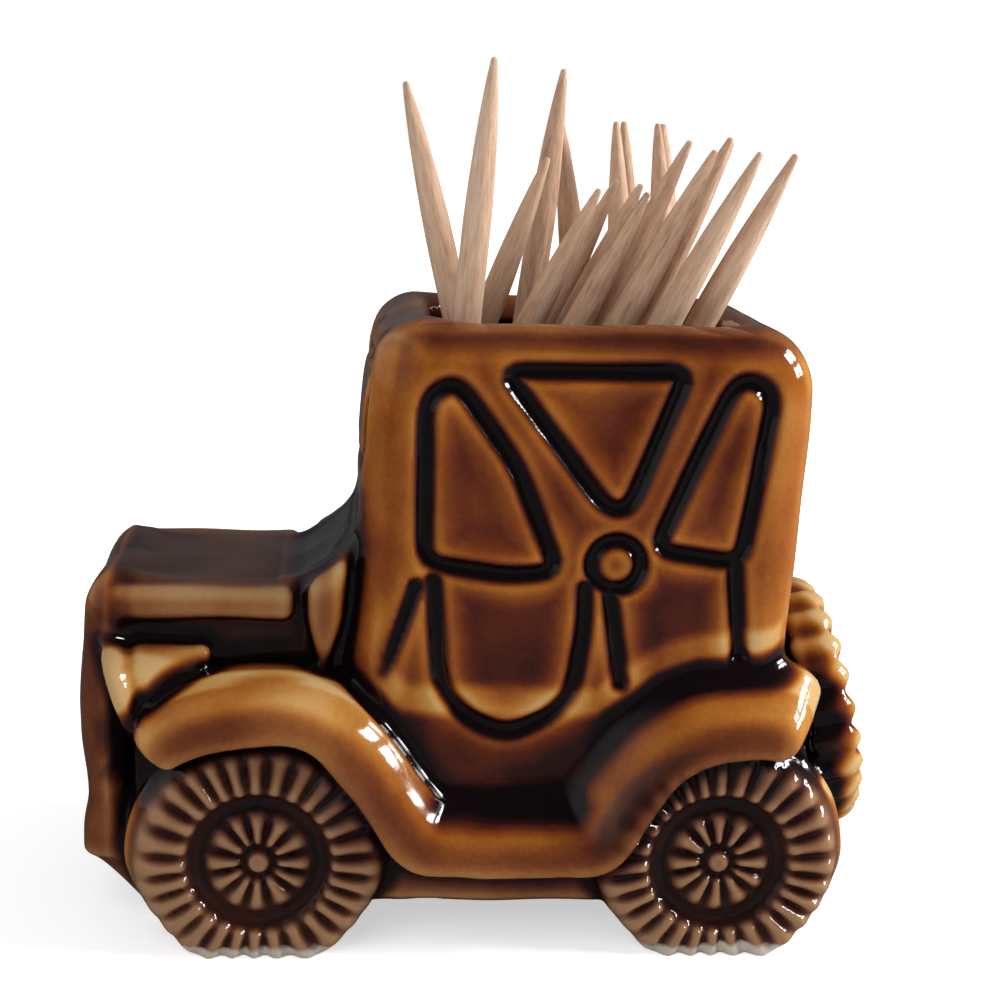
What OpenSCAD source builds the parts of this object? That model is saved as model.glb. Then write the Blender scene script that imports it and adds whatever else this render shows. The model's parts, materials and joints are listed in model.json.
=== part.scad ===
// Toothpick holder: a slip-cast, glazed ceramic car with an open roof, and the round wooden picks that it holds.
// Millimetres. +Z is up and the car's nose points along -X. The origin is under the middle of the car, where it stands.

/* [Car] */
// Overall length, from the radiator to the back of the spare wheel
car_l = 60.8; // [56:0.1:68]
// Overall width, across the wings
car_w = 33; // [31:0.1:38]
// Height of the roof
roof_z = 46.4; // [44:0.1:52]
// Thickness of the cast wall
wall = 2; // [1.6:0.1:2.2]
// Height of the underside between the wheels
sill_z = 3.2; // [2.6:0.1:4]

/* [Cab] */
// Length of the cab at its foot
cab_l = 35.6; // [34:0.1:37]
// Width of the cab
cab_w = 24.8; // [23:0.1:26]
// Distance from the back of the cab to the back of the spare wheel
cab_rear_gap = 7.2; // [6.6:0.1:7.8]
// How far the windscreen leans back over its height
screen_lean = 4.2; // [3:0.1:5]
// Radius that rounds the cab's edges
cab_round = 2.8; // [2.2:0.1:3.4]

/* [Mouth] */
// Distance from the top of the windscreen to the opening in the roof
mouth_gap = 3.6; // [3:0.1:4.4]
// Length of the opening in the roof
mouth_l = 22.4; // [22:0.1:24]
// Width of the opening in the roof
mouth_w = 18.2; // [18:0.1:19]
// Radius of the opening's corners
mouth_round = 3.5; // [3:0.1:4]

/* [Bonnet] */
// Height of the bonnet's top at the nose
bonnet_z = 27.6; // [26:0.1:30]
// How far the bonnet's top dips behind the nose
bonnet_dip = 0.9; // [0.4:0.1:1.6]
// Radius that rounds the bonnet's upper edges
bonnet_round = 2.6; // [2.2:0.1:3.2]
// Width of the bonnet
bonnet_w = 18.4; // [17:0.1:20]
// Width of the radiator
radiator_w = 20.4; // [19:0.1:22]
// Thickness of the radiator's shell
radiator_t = 3.6; // [3:0.1:4.4]
// Height of the radiator's lower edge
radiator_z = 5.6; // [4.8:0.1:6.4]
// Height of the rib along the bonnet's side
rib_h = 2; // [1.4:0.1:2.6]
// Radius of a headlamp
lamp_r = 3.1; // [2.4:0.1:3.6]
// Length of a headlamp
lamp_l = 7.4; // [6:0.1:9]

/* [Wings] */
// Outer radius of a wing, from the wheel's centre
wing_r = 13.1; // [12.6:0.1:13.6]
// Thickness of a wing
wing_t = 3.3; // [2.8:0.1:3.6]
// Height of the running board's lower edge
board_z = 6.4; // [5.8:0.1:7]
// Thickness of the running board at its edge
board_t = 2.2; // [1.8:0.1:2.8]
// Height at which the running board meets the cab
board_top_z = 13.6; // [12.6:0.1:14.6]

/* [Wheels] */
// Radius of a road wheel
wheel_r = 9.2; // [8.8:0.1:9.4]
// Height of a road wheel's centre, less than its radius because the foot is cut flat
wheel_z = 7.2; // [6.8:0.1:7.6]
// Distance between the axles
wheelbase = 33.8; // [32:0.1:36]
// Distance from the nose to the front axle
axle_from_nose = 13.6; // [13:0.1:15]
// How far a wheel's face lies inside the wing's edge
wheel_inset = 1.2; // [0.8:0.1:1.8]
// Number of ribs round a tyre
tyre_ribs = 28; // [20:1:32]
// Number of petals round a hub
hub_petals = 12; // [8:1:16]
// How far ribs, petals and hub stand proud
relief = 0.6; // [0.4:0.1:0.8]

/* [Spare wheel] */
// Radius of the spare wheel
spare_r = 10.2; // [9:0.1:11]
// Thickness of the spare wheel
spare_t = 4.2; // [3.6:0.1:5]
// Height of the spare wheel's centre
spare_z = 15.6; // [14:0.1:17]
// Angle that the spare wheel leans forward
spare_lean = 9; // [4:0.5:12]

/* [Grooves] */
// Width of a groove in the cab's side
groove_w = 1.1; // [0.8:0.1:1.4]
// Depth of a groove in the cab's side
groove_d = 0.6; // [0.4:0.1:0.8]
// Radius of the door handle's ring
ring_r = 1.9; // [1.6:0.1:2.4]

/* [Picks] */
// Length of a pick
pick_l = 59.5; // [58:0.5:62]
// Diameter of a pick at its middle
pick_d = 2.2; // [2:0.1:2.4]
// Length of the taper at each end of a pick
pick_taper = 13; // [9:0.5:16]
// Radius of a pick's blunt tip
pick_tip_r = 0.25; // [0.2:0.05:0.4]
// Gap between a pick's foot and the floor under it
foot_gap = 0.25; // [0.2:0.05:0.3]

/* [Hidden] */
$fn = 64;
over = 1; // overrun that lets a cut break out of a face
arc_steps = 6; // straight steps in a rounded corner

glaze = "#8a4a14";
wood = "#c9a184";

nose_x = -car_l / 2;
tail_x = car_l / 2;
cab_rear_x = tail_x - cab_rear_gap;
cab_front_x = cab_rear_x - cab_l;
cab_mid_x = cab_front_x + cab_l / 4; // inside the cab, where the bonnet's form ends
screen_top_x = cab_front_x + screen_lean;
front_axle_x = nose_x + axle_from_nose;
rear_axle_x = front_axle_x + wheelbase;
cab_y = cab_w / 2;
wing_y = car_w / 2;
face_y = wing_y - wheel_inset;

// The floor of the hollow lies a wall above the underside, and lower in the two wells over the axles.
floor_z = sill_z + wall;
well_z = wall;
well_r = wheel_r - wall;
chamber_y = cab_y - wall;
mouth_x = screen_top_x + mouth_gap + mouth_l / 2;

// The bonnet sweeps up into the windscreen along an arc of radius cowl_r.
cowl_r = 6.4;
dip_z = bonnet_z - bonnet_dip;
cowl_z = dip_z + cowl_r;
cowl_x = screen_x(cowl_z) - cowl_r;
body_top_z = wheel_z + wing_r - wing_t;

screen_angle = atan(screen_lean / (roof_z - sill_z));
function screen_x(z) = cab_front_x + screen_lean * (z - sill_z) / (roof_z - sill_z);

// Points of an arc round the middle m, from angle a to angle b.
function arc(m, r, a, b, steps = arc_steps) =
    [for (i = [0:steps]) m + r * [cos(a + (b - a) * i / steps), sin(a + (b - a) * i / steps)]];

// A rectangle from corner p to corner q with its corners rounded to r.
function round_box(p, q, r) = concat(
    arc([q[0] - r, q[1] - r], r, 0, 90),
    arc([p[0] + r, q[1] - r], r, 90, 180),
    arc([p[0] + r, p[1] + r], r, 180, 270),
    arc([q[0] - r, p[1] + r], r, 270, 360));

// Lays an outline drawn in X and Z across the car, from y = a to y = b.
module across(a, b) { translate([0, b, 0]) rotate([90, 0, 0]) linear_extrude(b - a) children(); }

// Lays an outline drawn in Y and Z along the car, from x = a to x = b.
module along(a, b) { translate([a, 0, 0]) rotate([90, 0, 90]) linear_extrude(b - a) children(); }

module both_sides() {
    children();
    mirror([0, 1, 0]) children();
}

// The cab, drawn in by t on every side, and cut off below z.
module cab_form(t, z) {
    r = cab_round - t / 2;
    f = [for (h = [z, roof_z - t]) [screen_x(h) + t, h]];
    intersection() {
        across(-cab_y, cab_y) polygon(concat([f[0], [cab_rear_x - t, z]],
            arc([cab_rear_x - t - r, roof_z - t - r], r, 0, 90), arc([f[1][0] + r, f[1][1] - r], r, 90, 175)));
        along(cab_front_x, cab_rear_x) polygon(concat([[-cab_y + t, z], [cab_y - t, z]],
            arc([cab_y - t - r, roof_z - t - r], r, 0, 90), arc([-cab_y + t + r, roof_z - t - r], r, 90, 180)));
        translate([0, 0, z]) linear_extrude(roof_z - z)
            polygon(round_box([cab_front_x - r, -cab_y + t], [cab_rear_x - t, cab_y - t], r));
        // The front corners are rounded along the windscreen, which leans.
        translate([f[0][0], 0, z]) rotate([0, screen_angle, 0]) translate([0, 0, -roof_z]) linear_extrude(3 * roof_z)
            polygon(round_box([0, -cab_y + t], [2 * cab_l, cab_y - t], r));
    }
}

// The bonnet, drawn in by t, from z up to a top that dips behind the nose, with the sweep up to the windscreen.
module bonnet_form(t, z) {
    y = bonnet_w / 2 - t;
    r = bonnet_round - t / 2;
    x = nose_x + radiator_t / 2 + t;
    intersection() {
        across(-y, y) polygon([[x, z], [x, bonnet_z - t], [cowl_x, dip_z - t], [cab_mid_x, dip_z - t], [cab_mid_x, z]]);
        along(x, cab_mid_x) polygon(concat([[-y, z], [y, z]],
            arc([y - r, bonnet_z - t - r], r, 0, 90), arc([-y + r, bonnet_z - t - r], r, 90, 180)));
    }
    across(-y + r / 2, y - r / 2) polygon(concat([[cowl_x, z]],
        arc([cowl_x, cowl_z], cowl_r + t, -90, -8), [[cab_mid_x, cowl_z - cowl_r / 6], [cab_mid_x, z]]));
}

// A round-fronted radiator shell that reaches from its lower edge up to the bonnet's nose.
module radiator() {
    r = radiator_t / 2;
    intersection() {
        across(-radiator_w / 2, radiator_w / 2) polygon(concat(
            arc([nose_x + r, bonnet_z - r], r, 90, 180), arc([nose_x + r, radiator_z + r], r, 180, 270),
            [[front_axle_x, radiator_z], [front_axle_x, body_top_z], [nose_x + radiator_t, body_top_z],
             [nose_x + radiator_t, bonnet_z]]));
        translate([0, 0, radiator_z]) linear_extrude(bonnet_z - radiator_z)
            polygon(round_box([nose_x, -radiator_w / 2], [front_axle_x + radiator_t, radiator_w / 2], radiator_t));
    }
}

// A rib and the cowl's post on the bonnet's side.
module bonnet_trim() {
    rib_z = dip_z - rib_h;
    post_l = rib_h;
    across(-bonnet_w / 2 - relief, bonnet_w / 2 + relief)
        polygon(round_box([nose_x + radiator_t / 2, rib_z - rib_h / 2], [cowl_x, rib_z + rib_h / 2], rib_h / 4));
    across(-radiator_w / 2, radiator_w / 2)
        polygon([[cowl_x + post_l, body_top_z - wing_t], [cowl_x + 2 * post_l, body_top_z - wing_t],
                 [cowl_x + 2 * post_l, cowl_z - cowl_r / 2], [cowl_x + post_l, dip_z]]);
}

// A headlamp shaped like a bullet, with its flat glass to the front, sunk a little in the shelf beside the bonnet.
module lamp() {
    translate([nose_x + lamp_r / 2, radiator_w / 2, body_top_z + lamp_r - relief]) rotate([0, 90, 0]) {
        cylinder(r = lamp_r, h = lamp_l / 2);
        translate([0, 0, lamp_l / 2]) cylinder(r1 = lamp_r, r2 = lamp_r / 3, h = lamp_l / 2);
    }
}

// The lower body between the wheels, its apron under the radiator and the slope up to the spare wheel.
module lower_body() {
    across(-cab_y + relief, cab_y - relief) polygon([
        [front_axle_x - wheel_r / 2, sill_z], [rear_axle_x + wheel_r / 2, sill_z], [cab_rear_x, radiator_z],
        [cab_rear_x, body_top_z + wing_t], [front_axle_x - wheel_r / 2, body_top_z]]);
    across(-radiator_w / 2, radiator_w / 2) polygon([
        [nose_x + radiator_t, radiator_z + wall], [nose_x + radiator_t / 2, radiator_z],
        [front_axle_x - wheel_r / 2, 0], [front_axle_x, 0], [front_axle_x, radiator_z + wall]]);
}

// A wing: an arc round its wheel from angle a to angle b, with a rounded outer edge, and its dark inner face.
module wing(axle_x, a, b) {
    r = wing_t / 3;
    translate([axle_x, 0, wheel_z]) rotate([90, 0, 0]) {
        rotate_extrude(angle = b - a, start = a) polygon(concat([[wing_r - wing_t, cab_y - wing_t]],
            [[wing_r, cab_y - wing_t]], arc([wing_r - r, wing_y - r], r, 0, 90),
            arc([wing_r - wing_t + r, wing_y - r], r, 90, 180)));
        rotate_extrude(angle = b - a, start = a)
            polygon([[wheel_r / 2, 0], [wing_r - r, 0], [wing_r - r, cab_y + relief], [wheel_r / 2, cab_y + relief]]);
    }
}

// The running board between the wings, which slopes up to the cab.
module board() {
    a = front_axle_x + wing_r - wing_t;
    b = rear_axle_x - wing_r + wing_t;
    along(a, b) polygon([[cab_y - wing_t, board_z], [wing_y, board_z], [wing_y, board_z + board_t],
                         [cab_y - relief, board_top_z + relief], [cab_y - wing_t, board_top_z + relief]]);
}

// One side's road wheel with its tyre, ribs, petals and knob. The foot is cut flat with the whole car.
module wheel(axle_x) {
    tyre_in_r = wheel_r / 2 + relief;
    r = 2 * relief;
    y = face_y - relief;
    translate([axle_x, 0, wheel_z]) rotate([90, 0, 0]) {
        rotate_extrude() polygon(concat([[0, 0], [wheel_r, 0]], arc([wheel_r - r, y - r], r, 0, 90),
            [[tyre_in_r, y], [tyre_in_r, y - 2 * relief], [tyre_in_r - 2 * relief, y - 2 * relief],
             [tyre_in_r - 2 * relief, y - relief], [0, y - relief]]));
        translate([0, 0, y - relief]) linear_extrude(2 * relief) for (i = [1:tyre_ribs])
            rotate(i * 360 / tyre_ribs) translate([tyre_in_r + relief / 2, -relief / 2])
                square([wheel_r - r - tyre_in_r - relief / 2, relief]);
        translate([0, 0, y - 2 * relief]) linear_extrude(2 * relief) for (i = [1:hub_petals])
            rotate(i * 360 / hub_petals) translate([2 * relief, -relief / 2])
                square([tyre_in_r - 5 * relief, relief]);
        translate([0, 0, y - 2 * relief]) cylinder(r = 1.5 * relief, h = 3 * relief);
    }
}

// The spare wheel, which leans forward on the back of the cab, and the block that carries it.
module spare() {
    r = 2 * relief;
    // The disc's lower edge touches the plane of the tail.
    x = tail_x - r - (spare_t / 2 - r) * cos(spare_lean) - (spare_r - r) * sin(spare_lean);
    translate([x, 0, spare_z]) rotate([0, 90 - spare_lean, 0]) translate([0, 0, -spare_t / 2]) {
        rotate_extrude() polygon(concat([[0, 0], [spare_r - r, 0]], arc([spare_r - r, r], r, -90, -45),
            [[spare_r - relief, r], [spare_r - relief, spare_t - r]], arc([spare_r - r, spare_t - r], r, 45, 90),
            [[0, spare_t]]));
        translate([0, 0, r]) linear_extrude(spare_t - 2 * r) for (i = [1:tyre_ribs])
            rotate(i * 360 / tyre_ribs) translate([spare_r - r, -relief / 2]) square([r, relief]);
    }
    across(-cab_y / 2, cab_y / 2) polygon([
        [cab_rear_x - wall, sill_z + wall], [x, sill_z + wall], [x, spare_z], [cab_rear_x - wall, spare_z + spare_r / 2]]);
}

// The hollow, which follows the outside a wall's thickness within it.
module hollow() {
    cab_form(wall, floor_z);
    bonnet_form(wall, wheel_z);
    across(-chamber_y, chamber_y) polygon([
        [front_axle_x - well_r, wheel_z], [front_axle_x, floor_z], [rear_axle_x, floor_z],
        [cab_rear_x - wall, wheel_z], [cab_rear_x - wall, body_top_z - wall],
        [front_axle_x - well_r / 2, body_top_z - wall], [front_axle_x - well_r, wheel_z + well_r / 2]]);
    intersection() {
        for (x = [front_axle_x, rear_axle_x]) translate([x, chamber_y, wheel_z]) rotate([90, 0, 0])
            cylinder(r = well_r, h = 2 * chamber_y);
        translate([nose_x, -car_w, well_z]) cube([car_l, 2 * car_w, wheel_z]);
    }
    translate([mouth_x, 0, roof_z - 2 * wall]) linear_extrude(2 * wall + over)
        polygon(round_box([-mouth_l / 2, -mouth_w / 2], [mouth_l / 2, mouth_w / 2], mouth_round));
}

// The grooves in the cab's side. Points are shares of the cab's length and of the roof's height.
front_window_shares = [[0.23, 0.905], [0.195, 0.88], [0.2, 0.63], [0.375, 0.61], [0.47, 0.62], [0.38, 0.785],
    [0.265, 0.905], [0.23, 0.905]];
upper_window_shares = [[0.35, 0.93], [0.715, 0.935], [0.61, 0.72], [0.565, 0.72], [0.35, 0.93]];
rear_window_shares = [[0.85, 0.925], [0.895, 0.9], [0.845, 0.635], [0.67, 0.655], [0.745, 0.8], [0.81, 0.915],
    [0.85, 0.925]];
door_shares = [[0.22, 0.6], [0.24, 0.43], [0.3, 0.375], [0.38, 0.35], [0.46, 0.38], [0.51, 0.42], [0.53, 0.53],
    [0.53, 0.59]];
front_line_shares = [[0.185, 0.59], [0.12, 0.45]];
handle_line_shares = [[0.58, 0.58], [0.61, 0.44]];
rear_line_shares = [[0.835, 0.63], [0.855, 0.485]];
handle_share = [0.59, 0.63];
function on_side(share) = [cab_front_x + cab_l * share[0], roof_z * share[1]];

// A groove of straight strips, each a little narrower than the rounds that join them.
module groove(shares) {
    strip = 0.9 * groove_w;
    for (i = [0:len(shares) - 1]) translate(on_side(shares[i])) circle(d = groove_w);
    for (i = [1:len(shares) - 1]) {
        p = on_side(shares[i - 1]);
        d = on_side(shares[i]) - p;
        translate(p) rotate(atan2(d[1], d[0])) translate([0, -strip / 2]) square([norm(d), strip]);
    }
}

module grooves() {
    both_sides() across(cab_y - groove_d, cab_y + over) {
        difference() {
            union() for (s = [front_window_shares, upper_window_shares, rear_window_shares, door_shares,
                              front_line_shares, handle_line_shares, rear_line_shares]) groove(s);
            translate(on_side(handle_share)) circle(r = ring_r);
        }
        translate(on_side(handle_share)) difference() {
            circle(r = ring_r + groove_w / 2);
            circle(r = ring_r - groove_w / 2);
        }
    }
}

module car_casting() {
    color(glaze) difference() {
        union() {
            cab_form(0, sill_z);
            bonnet_form(0, body_top_z - wing_t);
            radiator();
            bonnet_trim();
            lower_body();
            spare();
            both_sides() {
                lamp();
                wing(front_axle_x, 0, 135);
                wing(rear_axle_x, 60, 180);
                board();
                wheel(front_axle_x);
                wheel(rear_axle_x);
            }
        }
        hollow();
        grooves();
        translate([-car_l, -car_w, -car_l]) cube([2 * car_l, 2 * car_w, car_l]);
    }
}

// Where each pick crosses the roof and where it stands: shares of half the mouth's length and width, then of half
// the wheelbase and half the hollow's width. A foot near an axle stands in that axle's well.
pick_shares = [
    // the two highest ones at the windscreen, one nearly upright and one that leans forward
    [-0.8, -0.76, -0.33, -0.73],
    [-0.86, -0.45, 0.41, -0.8],
    // the near row, with its feet far forward
    [-0.33, -0.42, -1.01, 0.4],
    [-0.03, -0.57, -0.82, 0.29],
    [0.24, -0.66, -0.56, 0.15],
    [0.52, -0.73, -0.38, 0.08],
    [0.77, -0.62, -0.22, 0.19],
    // the second row
    [-0.62, -0.14, -0.9, 0.65],
    [-0.03, -0.21, -0.76, 0.58],
    [0.41, -0.31, -0.34, 0.44],
    // the third row
    [-0.16, 0.04, -0.81, 0.81],
    [0.18, -0.02, -0.53, 0.71],
    [0.46, -0.02, -0.34, 0.71],
    // the far ones, which lean away and stand over the rear axle, and one that stands in the middle
    [0.36, 0.42, 0.77, -0.44],
    [0.66, 0.44, 0.97, -0.44],
    [0.45, 0.75, 0.82, -0.15],
    [0.07, 0.73, 0.77, 0.25],
    [0.75, 0.81, 1.03, -0.12],
    [-0.29, 0.59, -0.06, 0.85]];
// Half the length of a well's flat floor.
well_l = sqrt(well_r * well_r - (wheel_z - well_z) * (wheel_z - well_z));
function in_well(x) = abs(x - front_axle_x) < well_l || abs(x - rear_axle_x) < well_l;

function pick_rim(s) = [mouth_x + s[0] * mouth_l / 2, s[1] * mouth_w / 2, roof_z];
function pick_foot(s) =
    let (x = front_axle_x + (1 + s[2]) * wheelbase / 2)
    [x, s[3] * chamber_y, (in_well(x) ? well_z : floor_z) + foot_gap];

// Half of a pick's outline: a pointed end that swells to the full thickness.
taper_steps = 6;
function taper_r(k) = pick_tip_r + (pick_d / 2 - pick_tip_r) * pow(sin(90 * k), 0.85);

module pick_form() {
    ends = [for (i = [0:taper_steps]) [taper_r(i / taper_steps), pick_taper * i / taper_steps]];
    rotate_extrude() polygon(concat([[0, 0]], ends,
        [for (i = [taper_steps:-1:0]) [ends[i][0], pick_l - ends[i][1]]], [[0, pick_l]]));
}

module pick(i) {
    foot = pick_foot(pick_shares[i]);
    d = pick_rim(pick_shares[i]) - foot;
    color(wood) translate(foot) rotate([0, acos(d[2] / norm(d)), atan2(d[1], d[0])]) pick_form();
}

PICKS = [for (i = [1:len(pick_shares)]) str("pick_", i < 10 ? "0" : "", i)];

car_casting();
for (i = [0:len(PICKS) - 1]) pick(i);
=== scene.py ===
"""The looks of the toothpick holder: a glazed ceramic car full of wooden picks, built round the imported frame.

The car is modelled as one casting. Its form is a field of signed distances, in which soft unions melt the
parts into each other as slip and glaze do, and its surface is meshed from that field. Lengths in the
modelling code are millimetres in the CAD frame, and a mesh is scaled to metres when it is made.
"""
import math

import bpy
import numpy as np
from mathutils import Matrix, Vector
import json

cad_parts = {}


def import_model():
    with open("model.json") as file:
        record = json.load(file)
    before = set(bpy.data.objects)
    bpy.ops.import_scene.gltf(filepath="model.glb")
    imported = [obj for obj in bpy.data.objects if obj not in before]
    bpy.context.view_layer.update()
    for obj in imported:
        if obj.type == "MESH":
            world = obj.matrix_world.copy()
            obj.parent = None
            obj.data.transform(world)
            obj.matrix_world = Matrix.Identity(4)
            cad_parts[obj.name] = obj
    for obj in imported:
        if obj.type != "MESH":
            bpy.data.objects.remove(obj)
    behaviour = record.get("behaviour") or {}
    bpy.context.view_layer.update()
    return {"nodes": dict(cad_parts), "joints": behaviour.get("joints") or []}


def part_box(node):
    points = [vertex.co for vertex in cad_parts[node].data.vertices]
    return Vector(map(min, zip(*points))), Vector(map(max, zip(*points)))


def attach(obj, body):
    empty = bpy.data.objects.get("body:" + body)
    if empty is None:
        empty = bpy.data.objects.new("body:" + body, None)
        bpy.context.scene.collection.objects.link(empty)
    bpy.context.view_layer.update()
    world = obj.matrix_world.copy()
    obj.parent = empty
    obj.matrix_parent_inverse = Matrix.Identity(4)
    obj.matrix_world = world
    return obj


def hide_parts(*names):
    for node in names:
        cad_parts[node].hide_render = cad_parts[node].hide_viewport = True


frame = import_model()

MM = 0.001

# The car's own reach comes from the frame.
car_low, car_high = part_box("car_casting")
NOSE_X, TAIL_X = car_low.x / MM, car_high.x / MM
WING_Y, ROOF_Z = car_high.y / MM, car_high.z / MM

# Places and sizes of the body, most of which the solids share, in millimetres.
WALL = 2.0
SILL_Z = 3.2
CAB_Y = 12.4
CAB_REAR_X = 23.2
CAB_FRONT_X = -12.4
CAB_L = CAB_REAR_X - CAB_FRONT_X
CAB_ROUND = 2.8
SCREEN_LEAN = 4.2
SCREEN_COS = math.cos(math.atan(SCREEN_LEAN / (ROOF_Z - SILL_Z)))
BONNET_Y = 9.2
BONNET_Z, DIP_Z = 27.6, 26.7
COWL_R = 6.4
NOSE_Y = 10.2
BODY_TOP_Z = 17.0

# The wheels.
WHEEL_Z, WHEEL_R = 7.2, 9.2
FRONT_AXLE_X, REAR_AXLE_X = -16.8, 17.0
FACE_Y = 14.72
HUB_PETALS = 12

VOXEL = 0.24
MARGIN = 1.6
FAR = 1e9

# The grid covers the half at positive Y. Its first layer lies half a voxel from the middle plane.
axis_x = np.arange(NOSE_X - MARGIN, TAIL_X + MARGIN, VOXEL, dtype=np.float32)
axis_y = (np.arange(int((WING_Y + MARGIN) / VOXEL) + 1, dtype=np.float32) + 0.5) * VOXEL
axis_z = np.arange(-MARGIN, ROOF_Z + MARGIN, VOXEL, dtype=np.float32)
X = axis_x[:, None, None]
Y = axis_y[None, :, None]
Z = axis_z[None, None, :]


def smooth_min(a, b, k):
    """The lesser of two distances, with the seam filled to a fillet of about k."""
    h = np.maximum(k - np.abs(a - b), 0.0) / k
    return np.minimum(a, b) - h * h * k * 0.25


def smooth_max(a, b, k):
    """The greater of two distances, with the edge rounded to about k."""
    return -smooth_min(-a, -b, k)


def smooth_step(low, high, value):
    """Rises from 0 at low to 1 at high. If low is the greater, it falls from 1 to 0 as the value grows."""
    t = np.clip((value - low) / (high - low), 0.0, 1.0)
    return t * t * (3.0 - 2.0 * t)


def rounded(r, *sides):
    """The space within several sides, with its edges rounded to r."""
    inside = sides[0]
    outside = 0.0
    for side in sides[1:]:
        inside = np.maximum(inside, side)
    for side in sides:
        outside = outside + np.maximum(side + r, 0.0) ** 2
    return np.sqrt(outside) - r + np.minimum(inside + r, 0.0)


def smooth_path(points, steps=8):
    """A Catmull-Rom curve through given points, as points close enough to draw straight lines between."""
    p = np.array(points, dtype=np.float64)
    p = np.vstack([2 * p[0] - p[1], p, 2 * p[-1] - p[-2]])
    out = []
    for i in range(1, len(p) - 2):
        for t in np.arange(steps) / steps:
            a, b, c, d = p[i - 1:i + 3]
            out.append(0.5 * (2 * b + (c - a) * t + (2 * a - 5 * b + 4 * c - d) * t * t
                              + (3 * b - a - 3 * c + d) * t ** 3))
    return np.array(out + [p[-2]])


def path_distance(points):
    """In the plane of X and Z: signed distance from a path, positive on its left, and the length along it."""
    gx, gz = X[:, 0, :], Z[0]
    best = np.full(np.broadcast(gx, gz).shape, FAR)
    signed = best.copy()
    along = best.copy()
    run = 0.0
    for a, b in zip(points[:-1], points[1:]):
        d = b - a
        length = math.hypot(*d)
        if length == 0.0:
            continue
        d = d / length
        px, pz = gx - a[0], gz - a[1]
        t = np.clip(px * d[0] + pz * d[1], 0.0, length)
        dx, dz = px - t * d[0], pz - t * d[1]
        dist = np.hypot(dx, dz)
        closer = dist < best
        best = np.where(closer, dist, best)
        signed = np.where(closer, np.where(d[0] * pz - d[1] * px >= 0, dist, -dist), signed)
        along = np.where(closer, run + t, along)
        run += length
    return signed[:, None, :].astype(np.float32), along[:, None, :].astype(np.float32)


def screen_x(z):
    """Where the windscreen stands at a height, before it bellies."""
    return CAB_FRONT_X + SCREEN_LEAN * (z - SILL_Z) / (ROOF_Z - SILL_Z)


# The grooves in the cab's side. Points are shares of the cab's length and of the roof's height.
GROOVES = [
    [(0.23, 0.905), (0.195, 0.88), (0.2, 0.63), (0.375, 0.61), (0.47, 0.62), (0.38, 0.785), (0.265, 0.905),
     (0.23, 0.905)],
    [(0.35, 0.93), (0.715, 0.935), (0.61, 0.72), (0.565, 0.72), (0.35, 0.93)],
    [(0.85, 0.925), (0.895, 0.9), (0.845, 0.635), (0.67, 0.655), (0.745, 0.8), (0.81, 0.915), (0.85, 0.925)],
    [(0.22, 0.6), (0.24, 0.43), (0.3, 0.375), (0.38, 0.35), (0.46, 0.38), (0.51, 0.42), (0.53, 0.53),
     (0.53, 0.59)],
    [(0.185, 0.59), (0.12, 0.45)],
    [(0.58, 0.58), (0.61, 0.44)],
    [(0.835, 0.63), (0.855, 0.485)],
]
WINDOWS = GROOVES[:3]
DOOR = GROOVES[3]
REAR_PANEL = [(0.59, 0.6), (0.61, 0.4), (0.87, 0.44), (0.835, 0.63), (0.67, 0.655)]
HANDLE = (0.59, 0.63)
HANDLE_R = 1.85
# How much narrower the groove round the handle is, on its outside, than the others.
HANDLE_TIGHT = 1.25


def on_side(share):
    """The point of X and Z on the cab's side for a pair of shares."""
    return np.array([CAB_FRONT_X + CAB_L * share[0], ROOF_Z * share[1]])


def rounded_line(corners, reach=1.5, steps=4):
    """The line through the corners, each of which is drawn into a curve over a length of about reach."""
    closed = np.allclose(corners[0], corners[-1])
    out = [] if closed else [corners[0]]
    for i in range(0 if closed else 1, len(corners) - 1):
        before, corner, after = corners[i - 1 if i else -2], corners[i], corners[i + 1]
        ends = []
        for other in (before, after):
            span = np.linalg.norm(other - corner)
            ends.append(corner + (other - corner) * min(reach / span, 0.5))
        for t in np.linspace(0, 1, steps + 1):
            out.append(ends[0] * (1 - t) ** 2 + corner * 2 * t * (1 - t) + ends[1] * t ** 2)
    return np.array(out + [out[0] if closed else corners[-1]])


def groove_distance():
    """In the plane of X and Z: distance from the nearest groove's middle line."""
    best = np.full((len(axis_x), 1, len(axis_z)), FAR, dtype=np.float32)
    for shares in GROOVES:
        line = rounded_line(np.array([on_side(s) for s in shares]))
        best = smooth_min(best, np.abs(path_distance(line)[0]), 0.25)
    handle = on_side(HANDLE)
    r = np.hypot(X - handle[0], Z - handle[1])
    return np.where(r < HANDLE_R, HANDLE_R - r, np.minimum(best, HANDLE_TIGHT * (r - HANDLE_R)))


def panel_mask(panels):
    """In the plane of X and Z: 1 within the panels, and 0 outside them."""
    inside = np.zeros((len(axis_x), 1, len(axis_z)), dtype=bool)
    for shares in panels:
        corners = [on_side(s) for s in shares]
        odd = np.zeros_like(inside)
        for a, b in zip(corners, corners[1:] + corners[:1]):
            if a[1] != b[1]:
                crosses = (a[1] > Z) != (b[1] > Z)
                odd ^= crosses & (X < a[0] + (Z - a[1]) * (b[0] - a[0]) / (b[1] - a[1]))
        inside |= odd
    return inside.astype(np.float32)


# The back stands in from the solids' by REAR_IN at the roof, and by REAR_FALL more at its foot.
REAR_IN, REAR_FALL = 0.4, 0.6
REAR_FALL_Z = (40.0, 26.0)


def cab_sides(inset):
    """Distances from the windscreen, the back, the side and the roof, all drawn in by an inset."""
    front = (screen_x(Z) - X) * SCREEN_COS + inset
    rear = X - CAB_REAR_X + REAR_IN + REAR_FALL * smooth_step(*REAR_FALL_Z, Z) + inset
    return front, rear, Y - CAB_Y + inset, Z - ROOF_Z + inset


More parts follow.
